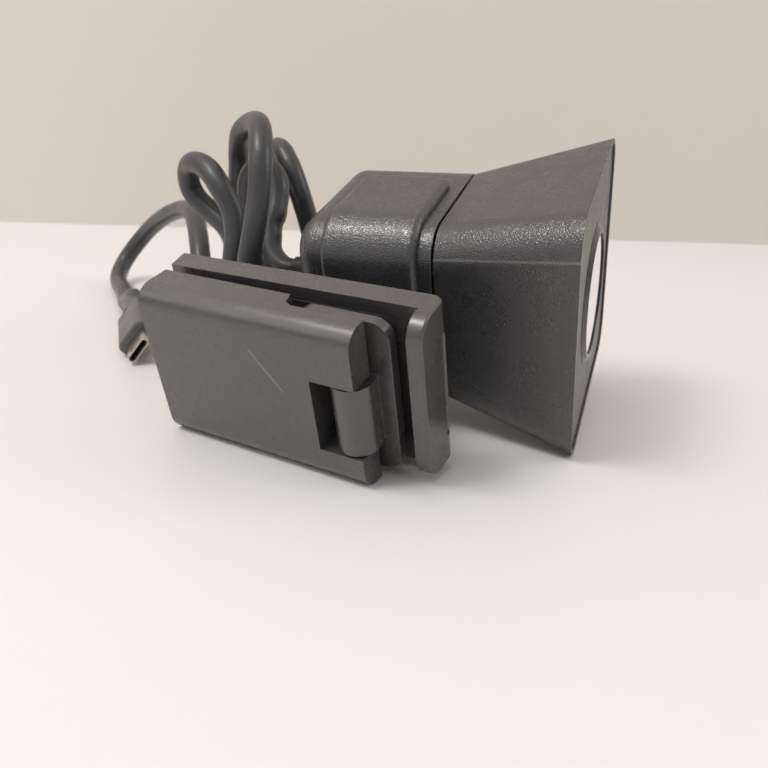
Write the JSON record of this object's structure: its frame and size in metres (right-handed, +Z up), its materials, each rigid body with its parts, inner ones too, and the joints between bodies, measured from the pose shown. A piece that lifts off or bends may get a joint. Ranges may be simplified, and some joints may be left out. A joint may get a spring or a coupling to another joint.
{
  "type": "usb webcam",
  "caption": "Square flared webcam head on a folding monitor clip, lying on its side, with a looped cable and a USB-C plug.",
  "frame": {"origin": "middle of the box round the whole object at rest, on the table it lies on", "axes": "+Z up from the table the webcam lies on; +X forward along the lens, which points 2.4 degrees above +X; +Y from the clip's side of the head to its far side"},
  "size_m": [0.1834, 0.1258, 0.0689],
  "materials": {
    "head_plastic": "fine leather grain",
    "fascia_plastic": "speckled satin",
    "ring_plastic": "satin bevel",
    "window_glass": "clear, dark behind",
    "light_pipe": "frosted",
    "inner_plastic": "matt black",
    "lens_metal": "black anodised",
    "lens_glass": "coated",
    "filter_glass": "coated",
    "sensor_package": "dark, glassy",
    "board": "green solder mask",
    "connector_plastic": "natural",
    "tin": "tinned",
    "thermal": "soft",
    "spreader": "brushed",
    "brass_post": "turned",
    "black_rubber": "matt",
    "mic_metal": "satin",
    "screw_steel": "black oxide",
    "cable_jacket": "satin",
    "clip_plastic": "satin graphite",
    "lip_trim": "satin",
    "pin_steel": "ground",
    "washer_nylon": "natural",
    "plug_steel": "nickel plated",
    "plug_plastic": "matt black",
    "plug_grip": "satin"
  },
  "bodies": {
    "camera": {"front_shell": "head_plastic", "front_fascia": "fascia_plastic", "lens_ring": "ring_plastic", "cover_glass": "window_glass", "status_light": "light_pipe", "lens_baffle": "inner_plastic", "lens_barrel": "lens_metal", "front_lens": "lens_glass", "lens_holder": "inner_plastic", "infrared_filter": "filter_glass", "image_sensor": "sensor_package", "sensor_board": "board", "main_board": "board", "board_connector": "connector_plastic", "shield_can": "tin", "thermal_pad": "thermal", "heat_spreader": "spreader", "board_posts": "brass_post", "microphone_gaskets": "black_rubber", "microphones": "mic_metal", "rear_shell": "head_plastic", "rear_cap": "head_plastic", "shell_screws": "screw_steel", "strain_relief": "cable_jacket", "cable": "cable_jacket", "plug_overmould": "plug_grip", "plug_shell": "plug_steel", "plug_insert": "plug_plastic", "cradle": "head_plastic"},
    "clamp": {"top_plate": "clip_plastic", "plate_pad": "black_rubber", "lip_pad": "black_rubber", "lip_cover": "lip_trim", "tilt_pin": "pin_steel", "tilt_washers": "washer_nylon", "leg_pin": "pin_steel", "leg_washers": "washer_nylon"},
    "leg": {"leg_shell": "clip_plastic", "leg_cover": "clip_plastic", "leg_cover_screws": "screw_steel", "foot_pin": "pin_steel", "foot_washers": "washer_nylon"},
    "foot": {"foot_plate": "clip_plastic", "foot_pad": "black_rubber"}
  },
  "joints": [
    {"name": "head_tilt", "type": "hinge", "parent": "camera", "child": "clamp", "pos_m": [0.04474, -0.03394, 0.02326], "axis": [-0.0403, -0.239, 0.9702], "range_deg": [-6, 22]},
    {"name": "leg_swing", "type": "hinge", "parent": "clamp", "child": "leg", "pos_m": [0.0064, -0.04404, 0.01918], "axis": [0.0403, 0.239, -0.9702], "range_deg": [-1.3, 104]},
    {"name": "foot_turn", "type": "hinge", "parent": "leg", "child": "foot", "pos_m": [0.05129, -0.05445, 0.01848], "axis": [0.0403, 0.239, -0.9702], "range_deg": [-0.3, 20.9]}
  ],
  "couplings": [
    {"joint": "foot_turn", "follows": "leg_swing", "ratio": 0.2}
  ]
}
